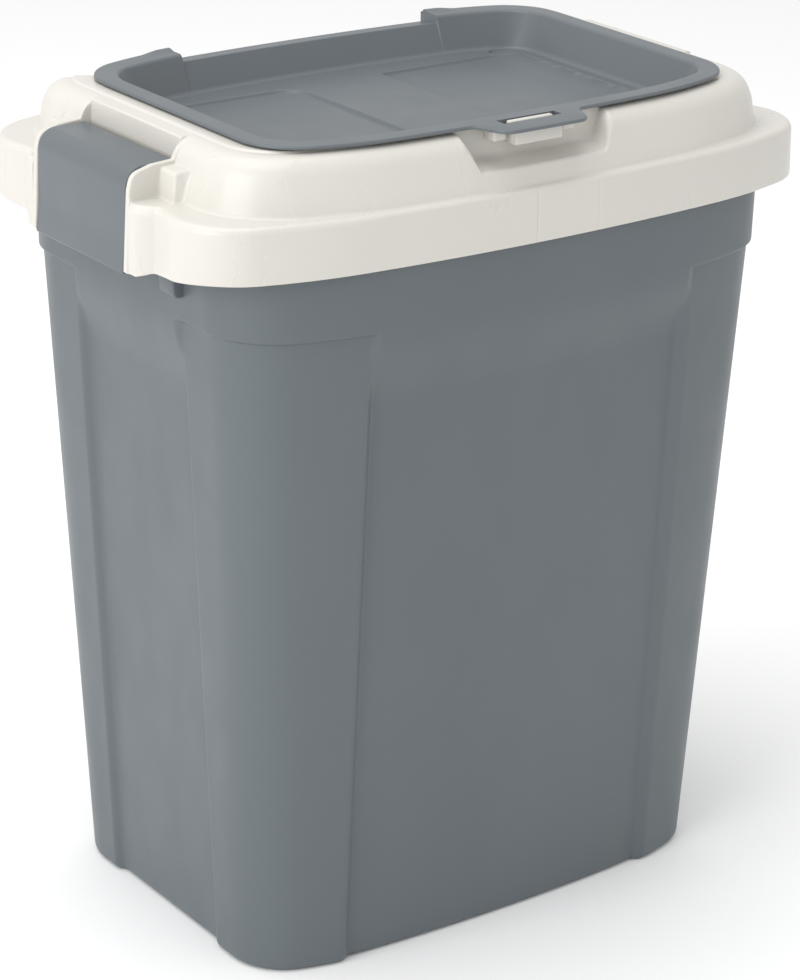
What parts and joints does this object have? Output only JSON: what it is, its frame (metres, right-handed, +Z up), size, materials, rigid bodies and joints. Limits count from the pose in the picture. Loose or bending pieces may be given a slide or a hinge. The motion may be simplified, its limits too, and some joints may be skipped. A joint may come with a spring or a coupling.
{
  "type": "pet food bin",
  "caption": "Tapered storage bucket with a domed lid, a flip-up tray-shaped pouring hatch and latches on the short sides.",
  "frame": {"origin": "centre of the footprint, on the surface that the bin stands on", "axes": "+Z up; X along the long sides; the hatch's finger tab is at the front, towards -Y, and its hinge at the back"},
  "size_m": [0.349, 0.236, 0.4048],
  "materials": {
    "bucket_grey": "satin moulded polypropylene, cool grey",
    "hatch_grey": "satin moulded polypropylene, cool grey",
    "latch_grey": "satin moulded polypropylene, cool grey",
    "lid_cream": "smooth moulded polypropylene, warm white",
    "seal": "soft translucent grey silicone",
    "pin_metal": "drawn steel wire"
  },
  "bodies": {
    "bucket": {"bucket": "bucket_grey"},
    "lid": {"lid": "lid_cream", "lid_gasket": "seal", "hatch_gasket": "seal", "left_latch_pin": "pin_metal", "right_latch_pin": "pin_metal", "hatch_left_pin": "pin_metal", "hatch_right_pin": "pin_metal"},
    "hatch": {"hatch": "hatch_grey"},
    "left_latch": {"left_latch": "latch_grey"},
    "right_latch": {"right_latch": "latch_grey"}
  },
  "joints": [
    {"name": "lid_lift", "type": "slide", "parent": "bucket", "child": "lid", "axis": [0, 0, 1], "range_m": [0, 0.12]},
    {"name": "hatch_hinge", "type": "hinge", "parent": "lid", "child": "hatch", "pos_m": [0, 0.084, 0.398], "axis": [-1, 0, 0], "range_deg": [0, 105]},
    {"name": "left_latch_hinge", "type": "hinge", "parent": "lid", "child": "left_latch", "pos_m": [-0.1505, 0, 0.3863], "axis": [0, 1, 0], "range_deg": [0, 100]},
    {"name": "right_latch_hinge", "type": "hinge", "parent": "lid", "child": "right_latch", "pos_m": [0.1505, 0, 0.3863], "axis": [0, -1, 0], "range_deg": [0, 100]}
  ]
}
